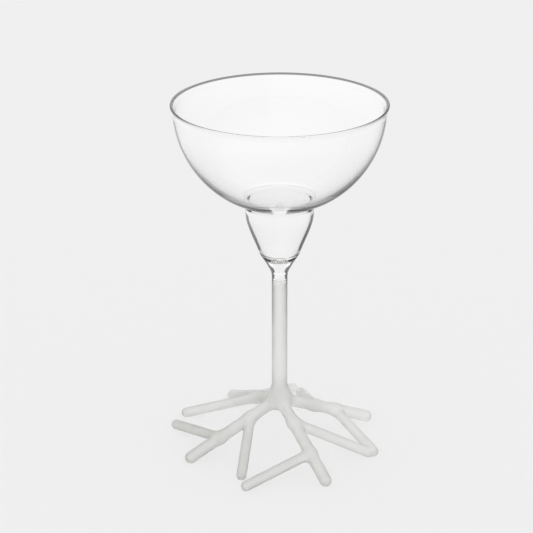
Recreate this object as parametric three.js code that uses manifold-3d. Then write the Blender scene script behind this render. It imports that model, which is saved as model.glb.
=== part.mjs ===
// A margarita glass worked in the lamp flame: a blown two-stage bowl of clear glass on a solid
// neck, a plain frosted stem, and a frosted foot of twelve welded rods that branches like roots.
// Millimetres, +Z up. The origin is on the table under the stem's axis.
import * as THREE from 'three';
import { mergeVertices } from 'three/addons/utils/BufferGeometryUtils.js';
import Module from 'manifold-3d';

const wasm = await Module();
wasm.setup();

// The whole glass
const glassHeight = 200;
const weldGap = 0.3; // clearance between a coped rod and the piece it is welded to

// Bowl: an upper bowl that steps down into a narrow lower cup, blown in one piece
const rimRadius = 58; // outside of the rim bead
const rimBeadRadius = 0.7;
const rimBeadNeck = 3; // how far below the bead's centre the plain wall takes over
const rimBeadArc = [-30, 150]; // degrees of the bead's round, from the outer wall to the inner
const bowlRadius = 56.8; // outside of the wall at its widest
const bowlDepth = 57.3; // from the widest level down to where the curve would close
const bowlShoulder = 2; // the widest level lies this far below the top
const bowlTopWall = 1.3;
const bowlLowWall = 2.3;
const cupMouthRadius = 18.9; // outside, at the crease under the bowl
const cupDepth = 38.7; // from the crease down to the weld
const creaseOutside = 1.2; // how far from the crease each surface starts to turn
const creaseInside = 5;
const creasePull = 0.6; // how far towards the corner the handles of a bend reach, as a share
const cupWall = 1.8;
const cupFloorRounding = 6; // height over which the inside rounds in to its floor
const cupFloorGlass = 5; // solid glass between the inside floor and the weld

// Neck, stem and hub
const weldRadius = 5.5; // where the bowl's solid bottom is welded to the neck
const neckLength = 6;
const stemRadius = 4.3;
const hubHeight = 25.6; // centre of the swelling where the roots meet
const hubRadius = 6.4;
const hubShoulder = 8; // from the hub's centre up to the plain stem

// Foot: four trunk rods, each with two thinner branches
const footReach = 58; // about how far the tips stand from the axis
const trunkRadius = 3.3;
const branchRadius = 2.8;
const trunkFlare = 0.6; // how much a rod swells at its weld
const branchFlare = 0.7;
const flareLength = 5;
const grindDepth = 0.35; // flat ground under each tip

// The outside of the lower cup, from the weld up to the crease: shares of its mouth radius, from
// the weld radius, and of its depth
const cupOutlineShares = [
  [0, 0],
  [0.143, 0.091],
  [0.28, 0.169],
  [0.411, 0.247],
  [0.555, 0.377],
  [0.706, 0.506],
  [0.849, 0.636],
  [0.952, 0.766],
  [0.985, 0.896],
  [1, 1],
];

// Bearings are degrees from +X. Reach is a share of the foot's reach, and a branch leaves its trunk
// at a share of the trunk's length from the hub. Each root's first branch turns off anticlockwise,
// and its second the other way.
const rootShares = [
  {
    name: 'right_root', bearing: 12.7, reach: 0.944,
    branches: [
      { name: 'right_root_inner_branch', along: 0.396, bearing: 65.8, reach: 0.931 },
      { name: 'right_root_outer_branch', along: 0.632, bearing: -31.4, reach: 0.97 },
    ],
  },
  {
    name: 'back_root', bearing: 109.9, reach: 0.946,
    branches: [
      { name: 'back_root_inner_branch', along: 0.425, bearing: 143.7, reach: 1.045 },
      { name: 'back_root_outer_branch', along: 0.573, bearing: 71.5, reach: 1.012 },
    ],
  },
  {
    name: 'left_root', bearing: -160.6, reach: 0.981,
    branches: [
      { name: 'left_root_inner_branch', along: 0.334, bearing: -124.3, reach: 0.89 },
      { name: 'left_root_outer_branch', along: 0.673, bearing: 158.6, reach: 1.047 },
    ],
  },
  {
    name: 'front_root', bearing: -75.5, reach: 1.019,
    branches: [
      { name: 'front_root_inner_branch', along: 0.309, bearing: -33.7, reach: 0.932 },
      { name: 'front_root_outer_branch', along: 0.683, bearing: -117.4, reach: 1.06 },
    ],
  },
];

// Facets
const bowlSides = 64;
const neckSides = 32;
const trunkSides = 20;
const branchSides = 16;
const bowlSteps = 12;
const cupSteps = 9;
const beadSteps = 6;
const creaseSteps = 4;
const innerCreaseSteps = 7;
const neckSteps = 5;
const hubSteps = 6;
const flareSteps = 4;
const tipSteps = 4;

const clearGlass = new THREE.MeshStandardMaterial({
  color: 0xf3f6f5, roughness: 0.03, metalness: 0, transparent: true, opacity: 0.35,
});
const frostedGlass = new THREE.MeshStandardMaterial({ color: 0xe1e2dc, roughness: 0.55, metalness: 0 });

const glass = new THREE.Group();
const turnAxis = new THREE.Vector3(0, 1, 0); // a lathe turns its profile about Y

// Profiles

function at(radius, height) {
  return new THREE.Vector2(radius, height);
}

// Points of an arc about a centre, from one angle to another in radians
function arc(centre, radius, from, to, steps) {
  return Array.from({ length: steps + 1 }, (_, i) => {
    const angle = from + ((to - from) * i) / steps;
    return at(centre.x + radius * Math.cos(angle), centre.y + radius * Math.sin(angle));
  });
}

// A cubic curve round a corner
function bend(first, corner, last, steps) {
  const handles = [first, last].map((end) => end.clone().lerp(corner, creasePull));
  return new THREE.CubicBezierCurve(first, ...handles, last).getPoints(steps);
}

// A turned piece stands on its own base, with its axis along Z
function turned(name, profile, sides, height, material) {
  const mesh = new THREE.Mesh(new THREE.LatheGeometry(profile, sides), material);
  mesh.name = name;
  mesh.position.z = height;
  mesh.rotation.x = Math.PI / 2;
  glass.add(mesh);
}

// Bowl. Heights are from the weld under it.

const bowlRise = bowlDepth * Math.sqrt(1 - (cupMouthRadius / bowlRadius) ** 2);
const widestLevel = cupDepth + bowlRise;
const bowlHeight = widestLevel + bowlShoulder;
const weldHeight = glassHeight - bowlHeight;
const cupOutline = new THREE.SplineCurve(
  cupOutlineShares.map(([acrossShare, upShare]) =>
    at(weldRadius + (cupMouthRadius - weldRadius) * acrossShare, cupDepth * upShare)),
);
const cupPoints = cupOutline.getPoints(cupSteps * cupOutlineShares.length);

// The cup's outside radius at a height. Above the crease it stays as it is there.
function cupRadius(height) {
  const next = cupPoints.findIndex((point) => point.y > height);
  if (next < 0) return cupMouthRadius;
  const [low, high] = [cupPoints[next - 1], cupPoints[next]];
  return THREE.MathUtils.mapLinear(height, low.y, high.y, low.x, high.x);
}

// The inside follows the outside less the wall, and rounds in to its floor by a quarter ellipse
function cupInsideRadius(height) {
  const rise = Math.min(1, (height - cupFloorGlass) / cupFloorRounding);
  return (cupRadius(height) - cupWall) * Math.sqrt(1 - (1 - rise) ** 2);
}

// Height of a bowl wall's ellipse at a radius near its bottom
function wallLevel(across, up, radius) {
  return widestLevel - up * Math.sqrt(1 - (radius / across) ** 2);
}

// A bowl wall as part of an upright ellipse, from a radius near its bottom up to a height
function bowlWall(across, up, fromRadius, toHeight) {
  const start = Math.acos(fromRadius / across);
  const end = Math.asin((widestLevel - toHeight) / up);
  return Array.from({ length: bowlSteps + 1 }, (_, i) => {
    const angle = start + ((end - start) * i) / bowlSteps;
    return at(across * Math.cos(angle), widestLevel - up * Math.sin(angle));
  });
}

function bowlProfile() {
  const bead = at(rimRadius - rimBeadRadius, bowlHeight - rimBeadRadius);
  const wallTop = bead.y - rimBeadNeck;
  const [beadStart, beadEnd] = rimBeadArc.map(THREE.MathUtils.degToRad);
  const outerWall = bowlWall(bowlRadius, bowlDepth, cupMouthRadius + creaseOutside, wallTop);
  const outerCrease = at(cupMouthRadius, cupDepth);
  const insideRadius = bowlRadius - bowlTopWall;
  const insideDepth = bowlDepth - bowlLowWall;
  const insideMouth = cupMouthRadius - cupWall;
  const innerCrease = at(insideMouth, wallLevel(insideRadius, insideDepth, insideMouth));
  const innerWall = bowlWall(insideRadius, insideDepth, insideMouth + creaseInside, wallTop);
  const outerCup = Array.from({ length: cupSteps + 1 }, (_, i) => {
    const height = ((cupDepth - creaseOutside) * i) / cupSteps;
    return at(cupRadius(height), height);
  });
  // Inside the cup the steps close up towards the round floor
  const innerCup = Array.from({ length: cupSteps + 1 }, (_, i) => {
    const rise = 1 - Math.cos((Math.PI / 2) * (1 - i / cupSteps));
    const height = cupFloorGlass + (innerCrease.y - creaseInside - cupFloorGlass) * rise;
    return at(cupInsideRadius(height), height);
  });
  const outerBend = bend(outerCup.at(-1), outerCrease, outerWall[0], creaseSteps);
  const innerBend = bend(innerWall[0], innerCrease, innerCup[0], innerCreaseSteps);
  return [
    at(0, 0),
    ...outerCup,
    ...outerBend.slice(1, -1),
    ...outerWall,
    ...arc(bead, rimBeadRadius, beadStart, beadEnd, beadSteps),
    ...innerWall.reverse(),
    ...innerBend.slice(1, -1),
    ...innerCup.slice(0, -1),
    at(0, cupFloorGlass),
  ];
}
turned('bowl', bowlProfile(), bowlSides, weldHeight, clearGlass);

// Neck: the clear weld bead, narrowing by a cubic from the bowl's bottom to the stem

function neckProfile() {
  const side = Array.from({ length: neckSteps + 1 }, (_, i) => {
    const rise = i / neckSteps;
    return at(stemRadius + (weldRadius - stemRadius) * rise ** 3, neckLength * rise);
  });
  return [at(0, 0), ...side, at(0, neckLength)];
}
const neckBase = weldHeight - neckLength;
turned('neck', neckProfile(), neckSides, neckBase, clearGlass);

// Stem and hub

const stemBase = hubHeight + hubShoulder;
const stemLength = neckBase - stemBase;
turned(
  'stem',
  [at(0, 0), at(stemRadius, 0), at(stemRadius, stemLength), at(0, stemLength)],
  neckSides,
  stemBase,
  frostedGlass,
);

// The hub is a half ball below its widest level, and a half wave up to the stem above it
function hubProfile(extra = 0) {
  const ball = arc(at(0, 0), hubRadius + extra, -Math.PI / 2, 0, hubSteps);
  const shoulder = Array.from({ length: hubSteps }, (_, i) => {
    const rise = (i + 1) / hubSteps;
    const swell = (hubRadius - stemRadius) * (1 + Math.cos(Math.PI * rise)) / 2;
    return at(stemRadius + extra + swell, hubShoulder * rise);
  });
  return [at(0, ball[0].y), ...ball.slice(1), ...shoulder, at(0, hubShoulder)];
}
turned('hub', hubProfile(), neckSides, hubHeight, frostedGlass);

// Closed solids for cutting, in the glass's own frame

function toSolid(geometry, matrix) {
  const bare = geometry.clone().applyMatrix4(matrix);
  bare.deleteAttribute('normal');
  bare.deleteAttribute('uv');
  const merged = mergeVertices(bare);
  const corners = [];
  for (let i = 0; i < merged.index.count; i += 3) {
    const triangle = [0, 1, 2].map((k) => merged.index.getX(i + k));
    if (new Set(triangle).size === triangle.length) corners.push(...triangle);
  }
  return new wasm.Manifold(new wasm.Mesh({
    numProp: 3,
    vertProperties: merged.getAttribute('position').array,
    triVerts: new Uint32Array(corners),
  }));
}

function toGeometry(solid, matrix) {
  const { vertProperties, triVerts } = solid.getMesh();
  const geometry = new THREE.BufferGeometry();
  geometry.setAttribute('position', new THREE.BufferAttribute(vertProperties, 3));
  geometry.setIndex(new THREE.BufferAttribute(triVerts, 1));
  geometry.applyMatrix4(matrix);
  geometry.computeVertexNormals();
  return geometry;
}

// Everything below the table, for grinding the tips flat
const slabSide = footReach * 3;
const slabDepth = trunkRadius * 2;
const table = toSolid(
  new THREE.BoxGeometry(slabSide, slabSide, slabDepth),
  new THREE.Matrix4().makeTranslation(0, 0, -slabDepth / 2),
);
const hubCutter = toSolid(
  new THREE.LatheGeometry(hubProfile(weldGap), neckSides),
  new THREE.Matrix4().makeRotationX(Math.PI / 2).setPosition(0, 0, hubHeight),
);

// Rods of the foot

// A point at a bearing and a reach from the axis
function place(bearing, reachShare, height) {
  const angle = THREE.MathUtils.degToRad(bearing);
  const reach = footReach * reachShare;
  return new THREE.Vector3(reach * Math.cos(angle), reach * Math.sin(angle), height);
}

// A rod runs from its parent's axis to the centre of its round tip. It is thickest at the weld and
// thins by a parabola over the flare's length.
function rodProfile(length, radius, flare, weldAt, extra) {
  const swollen = Array.from({ length: flareSteps + 1 }, (_, i) => {
    const left = 1 - i / flareSteps;
    return at(radius + extra + flare * left ** 2, weldAt + flareLength * (1 - left));
  });
  const tip = arc(at(0, length), radius + extra, 0, Math.PI / 2, tipSteps);
  return [
    at(0, 0),
    at(swollen[0].x, 0),
    ...swollen,
    ...tip.slice(0, -1),
    at(0, length + radius + extra),
  ];
}

function makeRod(name, from, to, radius, flare, weldAt, sides) {
  const run = to.clone().sub(from);
  const turn = new THREE.Quaternion().setFromUnitVectors(turnAxis, run.clone().normalize());
  const matrix = new THREE.Matrix4().makeRotationFromQuaternion(turn).setPosition(from);
  const solid = (extra) => {
    const profile = rodProfile(run.length(), radius, flare, weldAt, extra);
    return toSolid(new THREE.LatheGeometry(profile, sides), matrix);
  };
  return { name, from, run, turn, matrix, solid };
}

// Each rod is coped to the hub and to the rods made before it, and ground flat at the table. That
// cuts a branch to its trunk, and a tip to the branch that it leans on.
const rods = [];
function addRod(rod) {
  const others = rods.map((other) => other.solid(weldGap));
  const cut = [table, hubCutter, ...others].reduce((left, cutter) => left.subtract(cutter), rod.solid(0));
  const mesh = new THREE.Mesh(toGeometry(cut, rod.matrix.clone().invert()), frostedGlass);
  mesh.name = rod.name;
  mesh.position.copy(rod.from);
  mesh.quaternion.copy(rod.turn);
  glass.add(mesh);
  rods.push(rod);
}

const hubCentre = new THREE.Vector3(0, 0, hubHeight);
const trunks = rootShares.map((root) => {
  const tip = place(root.bearing, root.reach, trunkRadius - grindDepth);
  return makeRod(root.name, hubCentre, tip, trunkRadius, trunkFlare, hubRadius, trunkSides);
});
trunks.forEach(addRod);

rootShares.forEach((root, i) => {
  const trunk = trunks[i];
  for (const branch of root.branches) {
    const fork = trunk.run.clone().multiplyScalar(branch.along).add(hubCentre);
    const tip = place(branch.bearing, branch.reach, branchRadius - grindDepth);
    const leavingAngle = trunk.run.angleTo(tip.clone().sub(fork));
    const weldAt = trunkRadius / Math.sin(leavingAngle);
    addRod(makeRod(branch.name, fork, tip, branchRadius, branchFlare, weldAt, branchSides));
  }
});

export default glass;
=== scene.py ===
# A margarita glass worked in the lamp flame: a clear blown bowl over a narrow lower cup, a plain
# frosted stem, and a frosted foot of welded rods that branches like roots.
# Metres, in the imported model's own frame. The bowl and neck are one blown piece. The stem and foot
# are another, whose rods run into each other at their welds, as molten glass does.
import math

import bpy
import numpy as np
from mathutils import Matrix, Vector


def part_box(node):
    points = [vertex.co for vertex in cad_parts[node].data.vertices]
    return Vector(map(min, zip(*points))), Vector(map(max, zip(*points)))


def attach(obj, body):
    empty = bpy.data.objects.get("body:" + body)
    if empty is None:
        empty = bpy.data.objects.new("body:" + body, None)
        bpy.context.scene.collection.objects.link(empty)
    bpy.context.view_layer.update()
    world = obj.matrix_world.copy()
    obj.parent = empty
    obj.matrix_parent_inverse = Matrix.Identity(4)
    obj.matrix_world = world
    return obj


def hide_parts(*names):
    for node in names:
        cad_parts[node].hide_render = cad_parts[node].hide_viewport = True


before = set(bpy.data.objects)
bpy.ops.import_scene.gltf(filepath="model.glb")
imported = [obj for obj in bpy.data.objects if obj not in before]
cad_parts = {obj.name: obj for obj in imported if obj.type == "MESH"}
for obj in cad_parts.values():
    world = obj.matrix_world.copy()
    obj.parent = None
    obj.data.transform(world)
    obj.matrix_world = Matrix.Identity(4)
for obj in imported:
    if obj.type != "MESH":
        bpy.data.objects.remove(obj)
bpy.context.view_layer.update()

print("frame loaded:", len(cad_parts), "nodes")

mm = 0.001


# Shader maths

class Socket:
    # One output in a node tree. Sums and products of sockets and numbers add their own Math nodes.
    def __init__(self, graph, out):
        self.graph = graph
        self.out = out

    def __add__(self, other):
        return self.graph.maths("ADD", self, other)

    def __radd__(self, other):
        return self.graph.maths("ADD", other, self)

    def __sub__(self, other):
        return self.graph.maths("SUBTRACT", self, other)

    def __rsub__(self, other):
        return self.graph.maths("SUBTRACT", other, self)

    def __mul__(self, other):
        if isinstance(other, tuple):
            return self.graph.vector("MULTIPLY", self, other)
        return self.graph.maths("MULTIPLY", self, other)

    def __rmul__(self, other):
        return self.graph.maths("MULTIPLY", other, self)

    def __truediv__(self, other):
        return self.graph.maths("DIVIDE", self, other)


class Graph:
    # The node tree of a material or of the world, emptied first
    def __init__(self, owner):
        owner.use_nodes = True
        self.tree = owner.node_tree
        self.tree.nodes.clear()

    def node(self, kind, settings=None, sockets=None, output=0):
        made = self.tree.nodes.new(kind)
        for name, value in (settings or {}).items():
            setattr(made, name, value)
        for name, value in (sockets or {}).items():
            if isinstance(value, Socket):
                self.tree.links.new(value.out, made.inputs[name])
            else:
                made.inputs[name].default_value = value
        return Socket(self, made.outputs[output]) if made.outputs else None

    def maths(self, operation, *values):
        return self.node("ShaderNodeMath", {"operation": operation}, dict(enumerate(values)))

    def vector(self, operation, *values, output=0):
        settings = {"operation": operation}
        return self.node("ShaderNodeVectorMath", settings, dict(enumerate(values)), output)

    def length(self, vector):
        return self.vector("LENGTH", vector, output=1)

    def smooth(self, value, low, high):
        # 0 below low, 1 above high, with a soft step between; low may be the larger
        return self.node(
            "ShaderNodeMapRange", {"interpolation_type": "SMOOTHSTEP"},
            {"Value": value, "From Min": low, "From Max": high},
        )

    def line(self, value, low, high):
        # The same, rising evenly
        sockets = {"Value": value, "From Min": low, "From Max": high}
        return self.node("ShaderNodeMapRange", {}, sockets)

    def blend(self, share, first, second):
        # first where share is 0, second where it is 1
        sockets = {"Factor": share, 6: first, 7: second}
        return self.node("ShaderNodeMix", {"data_type": "RGBA"}, sockets, output=2)

    def noise(self, where, size, detail):
        sockets = {"Vector": where, "Scale": 1 / size, "Detail": detail}
        return self.node("ShaderNodeTexNoise", {}, sockets)

    def bump(self, height, depth):
        return self.node("ShaderNodeBump", {}, {"Distance": depth, "Height": height})

    def facing(self, normal=None):
        # 0 where light meets the surface, or the given direction, head on; 1 where it grazes it
        sockets = {"Blend": 0.5, "Normal": normal} if normal else {"Blend": 0.5}
        return self.node("ShaderNodeLayerWeight", {}, sockets, output=1)

    def axes(self, vector):
        split = self.node("ShaderNodeSeparateXYZ", {}, {0: vector}).out.node
        return [Socket(self, out) for out in split.outputs]

    def finish(self, kind, shader):
        self.node(kind, {}, {"Surface": shader})


def grey(value):
    return (value, value, value, 1.0)


# Meshes

sharpAngle = 50     # degrees between two faces, past which the edge isn't smoothed


def putMesh(name, points, faces, material, slot, *nodes):
    mesh = bpy.data.meshes.new(name)
    mesh.from_pydata(points.tolist(), [], [face for part in faces for face in part.tolist()])
    mesh.materials.append(material)
    mesh.shade_smooth()
    mesh.set_sharp_from_angle(angle=math.radians(sharpAngle))
    made = bpy.data.objects.new(name, mesh)
    bpy.context.scene.collection.objects.link(made)
    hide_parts(*nodes)
    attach(made, "root")
    print(f"{name}: {len(points)} points, {sum(len(part) for part in faces)} faces")
    return made


def turn(profile, sides):
    # Point (i, j) is profile point i, at its own radius and height, turned by j of the full
    # circle's sides. The profile's two ends lie on the axis and close as single points.
    radius, height = profile[1:-1].T
    angle = np.arange(sides) * 2 * np.pi / sides
    ring = np.stack([
        np.outer(radius, np.cos(angle)),
        np.outer(radius, np.sin(angle)),
        np.outer(height, np.ones(sides)),
    ], axis=-1)
    ends = [[0, 0, profile[0, 1]], [0, 0, profile[-1, 1]]]
    points = np.concatenate([ring.reshape(-1, 3), ends])
    index = np.arange(len(radius) * sides).reshape(len(radius), sides)
    after = np.roll(index, -1, axis=1)
    quads = np.stack([index[:-1], after[:-1], after[1:], index[1:]], axis=-1).reshape(-1, 4)
    first, last = len(points) - 2, len(points) - 1
    low = np.stack([after[0], index[0], np.full(sides, first)], axis=-1)
    high = np.stack([index[-1], after[-1], np.full(sides, last)], axis=-1)
    return points, [quads, low, high]


def arc(centre, radius, start, end, steps):
    # Points of a circle about the centre, from one angle to another in radians
    angle = np.linspace(start, end, steps + 1)
    across, up = centre[0] + radius * np.cos(angle), centre[1] + radius * np.sin(angle)
    return np.stack([across, up], axis=-1)


def bend(first, at, last, pull, steps):
    # A cubic curve from first to last that starts towards the corner between them and ends
    # straight away from it, with both its handles at a share of the way there
    t = np.linspace(0, 1, steps + 1)[:, None]
    handleOne, handleTwo = first + (at - first) * pull, last + (at - last) * pull
    return ((1 - t) ** 3 * first + 3 * (1 - t) ** 2 * t * handleOne
            + 3 * (1 - t) * t ** 2 * handleTwo + t ** 3 * last)


def throughPoints(points, steps):
    # A smooth line through the points: between two of them each coordinate is a cubic whose slope
    # at a point is half the step from the point before it to the point after it
    before = np.concatenate([points[:1], points[:-2]])
    start, end = points[:-1], points[1:]
    beyond = np.concatenate([points[2:], points[-1:]])
    t = np.linspace(0, 1, steps, endpoint=False)[None, :, None]
    slopeStart = (end - before)[:, None] / 2
    slopeEnd = (beyond - start)[:, None] / 2
    start, end = start[:, None], end[:, None]
    line = ((2 * start - 2 * end + slopeStart + slopeEnd) * t ** 3
            + (-3 * start + 3 * end - 2 * slopeStart - slopeEnd) * t ** 2 + slopeStart * t + start)
    return np.concatenate([line.reshape(-1, 2), points[-1:]])


# The camera stands where the photographer's did

camera = {
    "azimuth": -10.0,       # degrees round from the front
    "tilt": 22.731,         # degrees down
    "roll": -0.18,
    "lens": 113.51,
    "distance": 0.85,       # on the ground from the stem
    "height": 0.46241,
    "aside": -0.0072,
}


def makeCamera():
    made = bpy.data.objects.new("camera", bpy.data.cameras.new("camera"))
    bpy.context.scene.collection.objects.link(made)
    heading = math.radians(camera["azimuth"])
    away, right = -camera["distance"], camera["aside"]
    made.location = (
        right * math.cos(heading) - away * math.sin(heading),
        right * math.sin(heading) + away * math.cos(heading),
        camera["height"],
    )
    turned = (
        Matrix.Rotation(heading, 4, "Z")
        @ Matrix.Rotation(math.radians(90 - camera["tilt"]), 4, "X")
        @ Matrix.Rotation(math.radians(camera["roll"]), 4, "Z")
    )
    made.rotation_euler = turned.to_euler()
    made.data.lens = camera["lens"]
    made.data.sensor_width = 36
    bpy.context.scene.camera = made
    print("camera placed")


makeCamera()

# Studio: a pale floor under even light

studio = {
    "backdrop": 0.871,      # the pale grey behind the glass
    "light": 1.0,           # what falls on the floor and on matt surfaces
    "through": (0.88, 1.4),     # the backdrop as seen through the glass, low down and higher up
    "throughRise": (0.25, 0.45),        # how steeply a ray rises for each
    "floorThrough": (0.9, 0.91, 0.97),  # the floor the same way: near, further out and far off
    "nearReach": (0.4, 0.15),           # metres from the stem
    "farReach": (0.45, 0.8),
    "overhead": 1.4,        # the soft box above, as a reflection in the glass shows it
    "overheadRise": (0.2, 0.8),
    "sides": (1.0, 0.75),   # the room on the left and on the right, the same way
    "sideReach": (-0.15, 0.15),         # from all left to all right
    "nearFloor": 0.6,       # how much of that the floor under the glass shows, as painted shade
    "glow": 1.0,            # a patch of light on the floor behind the glass, the same way
    "glowBearing": -10.0,   # degrees round from +Y
    "glowWidth": (14.0, 8.0),           # to each side: none, and full
    "glowReach": (0.35, 0.25),          # metres: none, and full
    "shadow": 0.3,          # how much of its own shadow the floor keeps
    "floorSize": 40.0,
}


def rayKinds(graph):
    # Which rays ask: 1 or 0 each for those that were reflected in glass on their way, for those
    # that only passed through glass, and for the rest that light a matt surface
    ray = graph.node("ShaderNodeLightPath").out.node
    straight = 1 - graph.maths("MINIMUM", Socket(graph, ray.outputs["Glossy Depth"]), 1.0)
    bent = graph.maths("MINIMUM", Socket(graph, ray.outputs["Transmission Depth"]), 1.0)
    diffuse = Socket(graph, ray.outputs["Is Diffuse Ray"])
    return (1 - straight) * (1 - diffuse), straight * bent * (1 - diffuse), diffuse


def sideLevel(graph, right):
    # The room's brightness from left to right, for a ray's direction or for where it lands
    left, darker = studio["sides"]
    return graph.smooth(right, *studio["sideReach"]) * (darker - left) + left


def makeWorld():
    world = bpy.data.worlds.new("studio")
    bpy.context.scene.world = world
    bpy.context.scene.view_settings.view_transform = "Standard"
    graph = Graph(world)
    mirrored, through, diffuse = rayKinds(graph)
    right, _, up = graph.axes(graph.node("ShaderNodeTexCoord"))
    room = sideLevel(graph, right)
    room = room + graph.smooth(up, *studio["overheadRise"]) * (studio["overhead"] - room)
    low, high = studio["through"]
    seenThrough = graph.smooth(up, *studio["throughRise"]) * (high - low) + low
    level = (studio["backdrop"] + mirrored * (room - studio["backdrop"])
             + through * (seenThrough - studio["backdrop"])
             + diffuse * (studio["light"] - studio["backdrop"]))
    shade = graph.node("ShaderNodeBackground", {}, {"Color": grey(1.0), "Strength": level})
    graph.finish("ShaderNodeOutputWorld", shade)


def glowShare(graph, where, away):
    # 1 inside the patch of light, by the angle from its bearing at the stem and by the distance
    right, back, _ = graph.axes(where)
    heading = math.radians(studio["glowBearing"])
    aside = right * math.cos(heading) + back * math.sin(heading)
    ahead = back * math.cos(heading) - right * math.sin(heading)
    angle = graph.maths("ABSOLUTE", graph.maths("ARCTAN2", aside, ahead))
    width = graph.smooth(angle, *np.radians(studio["glowWidth"]))
    return width * graph.smooth(away, *studio["glowReach"])


def makeFloor():
    half = studio["floorSize"] / 2
    mesh = bpy.data.meshes.new("floor")
    corners = [(-half, -half, 0), (half, -half, 0), (half, half, 0), (-half, half, 0)]
    mesh.from_pydata(corners, [], [(0, 1, 2, 3)])
    material = bpy.data.materials.new("floor")
    graph = Graph(material)
    mirrored, through, diffuse = rayKinds(graph)
    where = graph.node("ShaderNodeTexCoord", output=3)
    away = graph.length(where)
    near = graph.smooth(away, *studio["nearReach"])
    far = graph.smooth(away, *studio["farReach"])
    backdrop = studio["backdrop"]
    under, further, farOff = studio["floorThrough"]
    # Seen through the glass, and in it, the floor is darker near the stem: painted shade
    seenThrough = further + near * (under - further) + far * (farOff - further)
    reflection = sideLevel(graph, graph.axes(where)[0]) * (1 + near * (studio["nearFloor"] - 1))
    reflection = reflection + glowShare(graph, where, away) * (studio["glow"] - reflection)
    level = backdrop + mirrored * (reflection - backdrop) + through * (seenThrough - backdrop)
    color = graph.blend(level, grey(0.0), grey(1.0))
    paint = graph.node("ShaderNodeBsdfDiffuse", {}, {"Color": color})
    plain = graph.node("ShaderNodeEmission", {}, {
        "Color": grey(1.0), "Strength": level * studio["light"],
    })
    both = graph.node("ShaderNodeMixShader", {}, {0: studio["shadow"], 1: plain, 2: paint})
    graph.finish("ShaderNodeOutputMaterial", both)
    mesh.materials.append(material)
    made = bpy.data.objects.new("floor", mesh)
    bpy.context.scene.collection.objects.link(made)


makeWorld()
makeFloor()
print("studio lit")

# Materials

glass = {
    "ior": 1.47,
    "edge": (0.78, 0.83),   # where the clear glass's painted dark outline starts and is full: 1 is edge on
    # the painted shade of that outline
    "outlineShade": 0.03,
    "wider": [              # by how much more of the painted outline, and the levels between which that comes in
        (0.1, 156 * mm, 151 * mm),          # band under the bowl
        (-0.4, 144.5 * mm, 143.5 * mm),     # almost none at the crease
        (0.48, 140.5 * mm, 139 * mm),       # cup
        (-0.35, 118.5 * mm, 117.5 * mm),    # little where the cup's floor begins
        (0.35, 115.5 * mm, 114.5 * mm),     # its underside
        (0.15, 110 * mm, 107 * mm),         # weld
        (0.13, 103.2 * mm, 102.6 * mm),     # neck, until just above the frosting
        (-0.13, 100.4 * mm, 99.8 * mm),
        (-1.0, 194 * mm, 197 * mm),         # none on the rim's bead
    ],
    "outward": (0.0, 0.1),  # how far a face looks outward to have it: none, and all of it
    "gapWidth": (0.87, 0.9),            # the bright strip in the middle of the band: its edges
    "gapTop": (154 * mm, 152 * mm),
    "gapBottom": (138 * mm, 140 * mm),
    "rimShade": 0.08,        # painted shade on the bead's inner half, where light that enters it is bent down
    "rimLevel": (198.5 * mm, 199.0 * mm),
    "rimFace": (-0.42, -0.55),          # how far its faces look inward: none of it, and all
    "bounces": 2.5,         # reflections in the wall, past which the glass glows at a set level: painted light
    "bounceGlow": (0.9, 0.2, 0.35),    # levels of that painted light: bead front and back, bead left and right, under the bowl
    "bounceSide": (0.62, 0.25),         # from front and back round to left and right
    "bounceLevel": (180 * mm, 188 * mm),
    "waveSize": 14 * mm,    # the slow waves that blowing leaves in a wall
    "waveDepth": 0.012 * mm,
    "waveDetail": 1.0,
    "frostTop": 99.5 * mm,  # the frosting fades in below this level
    "frostFull": 96.5 * mm,
    # The mottling's two colours at the front left of the foot, and at its back right, where painted
    # light makes them lighter
    "frostColor": ((0.79, 0.79, 0.77, 1.0), (0.85, 0.85, 0.84, 1.0)),
    "frostLitColor": ((0.96, 0.96, 0.95, 1.0), (0.99, 0.99, 0.98, 1.0)),
    "frostFar": (-60 * mm, 80 * mm),    # across the foot, from one to the other
    "frostBackShare": 0.7,  # how much further back counts, next to further right
    "frostStem": (25 * mm, 45 * mm),    # levels where the foot's colour gives way to the stem's
    "frostStemShare": 0.7,  # which lies between the two
    "frostOutline": (0.08, 0.58),       # where painted shade darkens the frosted glass towards its outline
    "frostEdge": (0.62, 0.62, 0.59, 1.0),   # to this, front left
    "frostLitEdge": (0.88, 0.88, 0.87, 1.0),    # back right, lighter with the painted light
    "frostStemEdge": (0.22, 0.22, 0.21, 1.0),   # and at the top of the stem
    "frostEdgeLevel": (45 * mm, 105 * mm),
    "frostRoughness": (0.42, 0.58),
    "frostTransmission": 0.8,
    "patchSize": 9 * mm,    # the mottling
    "patchEdge": (0.35, 0.65),
    "grainSize": 0.7 * mm,
    "grainDepth": 0.01 * mm,
    "frostDetail": 3.0,
}


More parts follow.
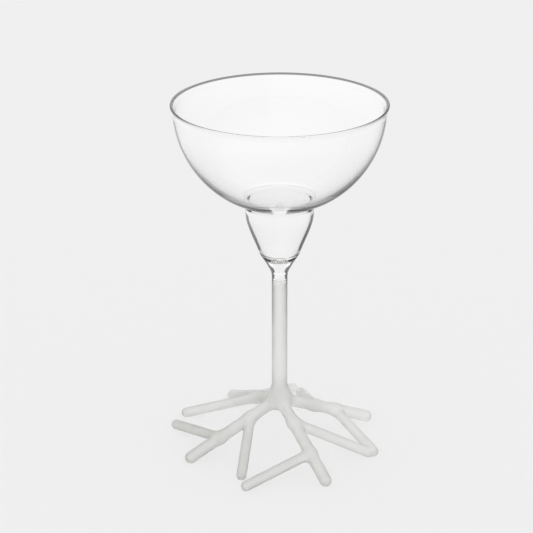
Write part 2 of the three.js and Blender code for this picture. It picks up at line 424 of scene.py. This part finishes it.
def clearShader(graph, where):
    right, back, height = graph.axes(where)
    geometry = graph.node("ShaderNodeNewGeometry").out.node
    normal = graph.axes(Socket(graph, geometry.outputs["Normal"]))
    entering = 1 - Socket(graph, geometry.outputs["Backfacing"])
    # How far the surface looks outward, from 1 to -1 inside the bowl
    away = graph.length(where * (1, 1, 0))
    outward = (right * normal[0] + back * normal[1]) / away * (entering * 2 - 1)
    # 1 where light crosses the wall straight towards the axis, less where it runs round with it
    around = graph.vector("NORMALIZE", graph.vector("CROSS_PRODUCT", where, (0, 0, 1)))
    straight = graph.facing(around)
    # Painted shade: a dark outline where the glass is seen edge on, with a bright strip left in the
    # middle of the band under the bowl
    facing = graph.facing()
    for width, start, full in glass["wider"]:
        facing = facing + graph.smooth(height, start, full) * width
    under = graph.smooth(height, *glass["gapTop"]) * graph.smooth(height, *glass["gapBottom"])
    gap = graph.smooth(straight, *glass["gapWidth"]) * under
    dark = graph.smooth(facing, *glass["edge"]) * graph.smooth(outward, *glass["outward"])
    edge = graph.blend(dark * (1 - gap), grey(1.0), grey(glass["outlineShade"]))
    # Painted shade on the bead's inner half, where light enters it from the bowl's side
    rimFace = graph.smooth(outward, *glass["rimFace"])
    rim = rimFace * entering * graph.smooth(height, *glass["rimLevel"])
    waves = graph.noise(where, glass["waveSize"], glass["waveDetail"])
    surface = graph.node("ShaderNodeBsdfPrincipled", {}, {
        "Base Color": graph.blend(rim, edge, grey(glass["rimShade"])),
        "Roughness": 0.0,
        "IOR": glass["ior"],
        "Transmission Weight": 1.0,
        "Normal": graph.bump(waves, glass["waveDepth"]),
    })
    # Light that goes to and fro inside the wall for long would come out somewhere bright: painted
    # light, the glass glowing at a set level instead
    frontLevel, sidesLevel, underLevel = glass["bounceGlow"]
    bead = graph.smooth(height, *glass["bounceLevel"])
    aside = graph.smooth(straight, *glass["bounceSide"])
    level = graph.maths(
        "MAXIMUM", gap * frontLevel, bead * (aside * (sidesLevel - frontLevel) + frontLevel),
    )
    level = graph.maths("MAXIMUM", level, under * underLevel)
    black = graph.node("ShaderNodeEmission", {}, {"Color": grey(0.0)})
    white = graph.node("ShaderNodeEmission", {}, {"Color": grey(1.0)})
    paintedGlow = graph.node("ShaderNodeMixShader", {}, {0: level, 1: black, 2: white})
    depth = Socket(graph, graph.node("ShaderNodeLightPath").out.node.outputs["Glossy Depth"])
    carried = graph.maths("GREATER_THAN", depth, glass["bounces"])
    carried = carried * graph.maths("MAXIMUM", bead, under)
    return graph.node("ShaderNodeMixShader", {}, {0: carried, 1: surface, 2: paintedGlow})


def clearGlass():
    material = bpy.data.materials.new("clear_glass")
    graph = Graph(material)
    where = graph.node("ShaderNodeTexCoord", output=3)
    graph.finish("ShaderNodeOutputMaterial", clearShader(graph, where))
    return material


def frostedGlass():
    # Sandblasted all over: mottled where the blasting bit deeper. Painted shade darkens it towards
    # its outline, and painted light makes it lighter to the back right of the foot
    material = bpy.data.materials.new("frosted_glass")
    graph = Graph(material)
    where = graph.node("ShaderNodeTexCoord", output=3)
    right, back, height = graph.axes(where)
    frosting = graph.smooth(height, glass["frostTop"], glass["frostFull"])
    patches = graph.noise(where, glass["patchSize"], glass["frostDetail"])
    patches = graph.smooth(patches, *glass["patchEdge"])
    geometry = graph.node("ShaderNodeNewGeometry").out.node
    entering = 1 - Socket(graph, geometry.outputs["Backfacing"])
    # Painted shade towards the outline, darkest at the top of the stem
    outline = graph.line(graph.facing(), *glass["frostOutline"]) * entering
    # Painted light: lighter towards the back right of the foot, with the stem's colour set between
    far = graph.line(right + back * glass["frostBackShare"], *glass["frostFar"])
    edge = graph.blend(far, glass["frostEdge"], glass["frostLitEdge"])
    edgeRise = graph.smooth(height, *glass["frostEdgeLevel"])
    edge = graph.blend(edgeRise, edge, glass["frostStemEdge"])
    far = far + graph.smooth(height, *glass["frostStem"]) * (glass["frostStemShare"] - far)
    nearColor = graph.blend(patches, *glass["frostColor"])
    color = graph.blend(far, nearColor, graph.blend(patches, *glass["frostLitColor"]))
    smoothest, roughest = glass["frostRoughness"]
    grain = graph.noise(where, glass["grainSize"], glass["frostDetail"])
    matt = graph.node("ShaderNodeBsdfPrincipled", {}, {
        "Base Color": graph.blend(outline, color, edge),
        "Roughness": patches * (smoothest - roughest) + roughest,
        "IOR": glass["ior"],
        "Transmission Weight": glass["frostTransmission"],
        "Normal": graph.bump(grain, glass["grainDepth"]),
    })
    clearAbove = clearShader(graph, where)
    both = graph.node("ShaderNodeMixShader", {}, {0: frosting, 1: clearAbove, 2: matt})
    graph.finish("ShaderNodeOutputMaterial", both)
    return material


def fusedFace():
    # The flat faces where two pieces are melted into one, which light passes unchanged
    material = bpy.data.materials.new("fused_face")
    graph = Graph(material)
    graph.finish("ShaderNodeOutputMaterial", graph.node("ShaderNodeBsdfTransparent"))
    return material


def fuse(made, level):
    # Gives the faces that lie flat at a level to the fused material
    mesh = made.data
    height = np.empty(len(mesh.vertices) * 3)
    mesh.vertices.foreach_get("co", height)
    height = height.reshape(-1, 3)[:, 2]
    count = np.empty(len(mesh.polygons), int)
    start = np.empty(len(mesh.polygons), int)
    mesh.polygons.foreach_get("loop_total", count)
    mesh.polygons.foreach_get("loop_start", start)
    corners = np.empty(len(mesh.loops), int)
    mesh.loops.foreach_get("vertex_index", corners)
    off = np.maximum.reduceat(np.abs(height[corners] - level), start)
    mesh.materials.append(fused)
    mesh.polygons.foreach_set("material_index", (off < 0.01 * mm).astype(int))


clear = clearGlass()
frosted = frostedGlass()
fused = fusedFace()
print("glass mixed")

# Bowl and neck: one profile turned about the stem's axis

stem = {"radius": 4.3 * mm}

bowl = {
    "height": 200 * mm,
    "rimRadius": 58 * mm,
    "beadRadius": 0.7 * mm,
    "beadNeck": 3 * mm,             # from the bead's centre down to the plain wall
    "beadArc": (-30, 150),          # degrees of its round, from the outer wall to the inner
    "radius": 56.8 * mm,
    "depth": 57.3 * mm,             # from the widest level down to where the curve would close
    "shoulder": 2 * mm,             # from the top down to the widest level
    "topWall": 1.3 * mm,
    "lowWall": 2.3 * mm,
    "cupMouthRadius": 18.9 * mm,
    "cupDepth": 38.7 * mm,
    "creaseOutside": 1.2 * mm,      # how far from the crease each surface starts to turn
    "creaseInside": 5 * mm,
    "creasePull": 0.6,              # how far towards the corner the handles of that bend reach
    "cupWall": 1.8 * mm,
    "floorRounding": 6 * mm,
    "floorGlass": 5 * mm,
    "weldRadius": 5.5 * mm,
    "neckLength": 6 * mm,
    "outlineShares": [              # the cup's outline, out from the weld and up from it
        (0, 0), (0.143, 0.091), (0.28, 0.169), (0.411, 0.247), (0.555, 0.377),
        (0.706, 0.506), (0.849, 0.636), (0.952, 0.766), (0.985, 0.896), (1, 1),
    ],
    "sides": 192,
    "wallSteps": 64,
    "beadSteps": 24,
    "creaseSteps": (12, 24),        # outside and inside
    "neckSteps": 12,
    "outlineSteps": 8,
    "insideSteps": 32,
}


def wallHeight(across, up, radius, level):
    # Height of an upright ellipse's lower half at a radius
    return level - up * math.sqrt(1 - (radius / across) ** 2)


def bowlWall(across, up, fromRadius, level, top, steps):
    # Part of an upright ellipse about the given level, from a radius near its bottom up to the top
    start, end = math.acos(fromRadius / across), math.asin((level - top) / up)
    angle = np.linspace(start, end, steps + 1)
    return np.stack([across * np.cos(angle), level - up * np.sin(angle)], axis=-1)


def bowlProfile():
    b = bowl
    level = b["height"] - b["shoulder"]
    mouth = b["cupMouthRadius"]
    crease = np.array([mouth, wallHeight(b["radius"], b["depth"], mouth, level)])
    weld = crease[1] - b["cupDepth"]
    base = weld - b["neckLength"]
    floor = weld + b["floorGlass"]
    # Neck: a cubic from the stem's radius out to the weld's
    up = np.linspace(0, 1, b["neckSteps"] + 1)[:-1]
    neck = np.stack([
        stem["radius"] + (b["weldRadius"] - stem["radius"]) * up ** 3, base + b["neckLength"] * up,
    ], axis=-1)
    shares = np.array(b["outlineShares"])
    outline = throughPoints(np.stack([
        b["weldRadius"] + (mouth - b["weldRadius"]) * shares[:, 0],
        weld + b["cupDepth"] * shares[:, 1],
    ], axis=-1), b["outlineSteps"])
    outside = outline[outline[:, 1] < crease[1] - b["creaseOutside"]]
    bead = np.array([b["rimRadius"] - b["beadRadius"], b["height"] - b["beadRadius"]])
    wallTop = bead[1] - b["beadNeck"]
    fromRadius = mouth + b["creaseOutside"]
    outer = bowlWall(b["radius"], b["depth"], fromRadius, level, wallTop, b["wallSteps"])
    # The inside's own crease, where its bowl and its cup would meet in a corner
    across, up = b["radius"] - b["topWall"], b["depth"] - b["lowWall"]
    innerRadius = mouth - b["cupWall"]
    innerCrease = np.array([innerRadius, wallHeight(across, up, innerRadius, level)])
    fromRadius = innerRadius + b["creaseInside"]
    inner = bowlWall(across, up, fromRadius, level, wallTop, b["wallSteps"])
    # The inside of the cup: the outside less the wall, drawn in to its floor by a quarter ellipse
    down = 1 - np.cos(np.linspace(np.pi / 2, 0, b["insideSteps"] + 1))
    height = floor + (innerCrease[1] - b["creaseInside"] - floor) * down
    drawn = np.sqrt(1 - (1 - np.minimum(1, (height - floor) / b["floorRounding"])) ** 2)
    inside = np.stack([
        (np.interp(height, outline[:, 1], outline[:, 0]) - b["cupWall"]) * drawn, height,
    ], axis=-1)
    outsideSteps, insideSteps = b["creaseSteps"]
    return np.concatenate([
        [[0, base]],
        neck,
        outside[:-1],
        bend(outside[-1], crease, outer[0], b["creasePull"], outsideSteps),
        outer[1:],
        arc(bead, b["beadRadius"], *np.radians(b["beadArc"]), b["beadSteps"]),
        inner[:0:-1],
        bend(inner[0], innerCrease, inside[0], b["creasePull"], insideSteps),
        inside[1:-1],
        [[0, floor]],
    ])


points, faces = turn(bowlProfile(), bowl["sides"])
blown = putMesh("blown_bowl", points, faces, clear, "clear_glass", "bowl", "neck")
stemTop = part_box("stem")[1].z
fuse(blown, stemTop)

# Stem and foot: the level surface of a distance field

foot = {
    "hubHeight": 25.6 * mm,
    "hubRadius": 6.4 * mm,
    "reach": 58 * mm,
    "trunkRadius": 3.3 * mm,
    "branchRadius": 2.8 * mm,
    "grind": 0.35 * mm,     # ground off under each tip
    "hubBlend": 5 * mm,     # how far apart two surfaces start to melt together
    "forkBlend": 3.5 * mm,
    "tipBlend": 1.5 * mm,
    "tipBlendRadius": (12 * mm, 24 * mm),
    "cell": 0.5 * mm,       # of the grid on which the surface is found
    "gridShare": 1.14,      # how far it runs, next to the reach
    # Each root has its bearing in degrees and its share of the reach. Each of its branches has how
    # far along the root it forks off, and the same two.
    "roots": [
        (12.7, 0.944, [(0.396, 65.8, 0.931), (0.632, -31.4, 0.97)]),
        (109.9, 0.946, [(0.425, 143.7, 1.045), (0.573, 71.5, 1.012)]),
        (-160.6, 0.981, [(0.334, -124.3, 0.89), (0.673, 158.6, 1.047)]),
        (-75.5, 1.019, [(0.309, -33.7, 0.932), (0.683, -117.4, 1.06)]),
    ],
}


def place(bearing, reach, height):
    angle, out = math.radians(bearing), foot["reach"] * reach
    return np.array([out * math.cos(angle), out * math.sin(angle), height])


def rodField(x, y, z, start, end, radius):
    # Distance to a straight rod with round ends: the distance to the nearest point of its centre
    # line, less its radius
    run = end - start
    along = (x - start[0]) * run[0] + (y - start[1]) * run[1] + (z - start[2]) * run[2]
    share = np.clip(along / np.dot(run, run), 0, 1)
    return np.sqrt(
        (x - start[0] - run[0] * share) ** 2
        + (y - start[1] - run[1] * share) ** 2
        + (z - start[2] - run[2] * share) ** 2
    ) - radius


def melt(first, second, blend):
    # The nearer of two surfaces, with the corner between them filled: less a quarter of the blend
    # times the square of how far within the blend the two distances agree
    near = np.maximum(blend - np.abs(first - second), 0) / blend
    return np.minimum(first, second) - near ** 2 * blend / 4


def footField(x, y, z):
    # Distance to the stem and hub with each root and its branches melted to them, over the table
    hub = np.array([0, 0, foot["hubHeight"]])
    across = np.sqrt(x ** 2 + y ** 2)
    rod = np.maximum(across - stem["radius"], hub[2] - z)
    ball = np.sqrt(across ** 2 + (z - hub[2]) ** 2) - foot["hubRadius"]
    field = melt(rod, ball, foot["hubBlend"])
    # One root runs into the next round the hub, and less where their tips meet
    blend = np.interp(across, foot["tipBlendRadius"], (foot["forkBlend"], foot["tipBlend"]))
    for bearing, reach, branches in foot["roots"]:
        tip = place(bearing, reach, foot["trunkRadius"] - foot["grind"])
        whole = rodField(x, y, z, hub, tip, foot["trunkRadius"])
        for along, branchBearing, branchReach in branches:
            fork = hub + (tip - hub) * along
            end = place(branchBearing, branchReach, foot["branchRadius"] - foot["grind"])
            branch = rodField(x, y, z, fork, end, foot["branchRadius"])
            whole = melt(whole, branch, foot["forkBlend"])
        field = melt(field, whole, blend)
    return np.maximum(field, -z)


def levelSurface(field, low, high, cell):
    # A point in each cell of a grid that the surface passes through, at the mean of where it
    # crosses the cell's edges, and a face round each grid edge that it crosses. Each point is then
    # moved twice along the field's slope on to the surface itself.
    axes = [np.arange(a, b + cell, cell, dtype=np.float32) for a, b in zip(low, high)]
    values = field(*np.meshgrid(*axes, indexing="ij", sparse=True)).astype(np.float32)
    shape = np.array(values.shape) - 1
    total = np.zeros(tuple(shape) + (3,), np.float32)
    count = np.zeros(tuple(shape), np.float32)
    edges = []
    for axis in range(3):
        one, two = np.roll([0, 1, 2], -axis)[1:]
        near = values[tuple(slice(0, -1) if k == axis else slice(None) for k in range(3))]
        far = values[tuple(slice(1, None) if k == axis else slice(None) for k in range(3))]
        crossing = np.argwhere((near < 0) != (far < 0))
        a = near[tuple(crossing.T)]
        b = far[tuple(crossing.T)]
        where = crossing.astype(np.float32)
        where[:, axis] += a / (a - b)
        cells = []
        for shiftOne, shiftTwo in ((0, 0), (1, 0), (1, 1), (0, 1)):
            beside = crossing.copy()
            beside[:, one] -= shiftOne
            beside[:, two] -= shiftTwo
            np.add.at(total, tuple(beside.T), where)
            np.add.at(count, tuple(beside.T), 1)
            cells.append(beside)
        edges.append((np.stack(cells, axis=1), a < 0))
    used = count > 0
    number = np.cumsum(used.ravel()).reshape(used.shape) - 1
    points = (total[used] / count[used][:, None]) * cell + np.array(low)
    faces = []
    for cells, inside in edges:
        quads = number[tuple(np.moveaxis(cells, -1, 0))]
        quads[~inside] = quads[~inside][:, ::-1]
        faces.append(quads)
    step = cell / 5
    for _ in range(2):
        x, y, z = points.T
        value = field(x, y, z)
        slope = np.stack([
            field(x + step, y, z) - field(x - step, y, z),
            field(x, y + step, z) - field(x, y - step, z),
            field(x, y, z + step) - field(x, y, z - step),
        ], axis=-1) / (2 * step)
        points = points - slope * (value / np.maximum((slope ** 2).sum(-1), 0.1))[:, None]
    return points, faces


margin = 2 * foot["cell"]
side = foot["gridShare"] * foot["reach"]
points, faces = levelSurface(
    lambda x, y, z: np.maximum(footField(x, y, z), z - stemTop),
    (-side, -side, -margin), (side, side, stemTop + margin), foot["cell"],
)
grown = putMesh(
    "stem_and_foot", points, faces, frosted, "frosted_glass",
    *[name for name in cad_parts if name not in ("bowl", "neck")],
)
fuse(grown, stemTop)
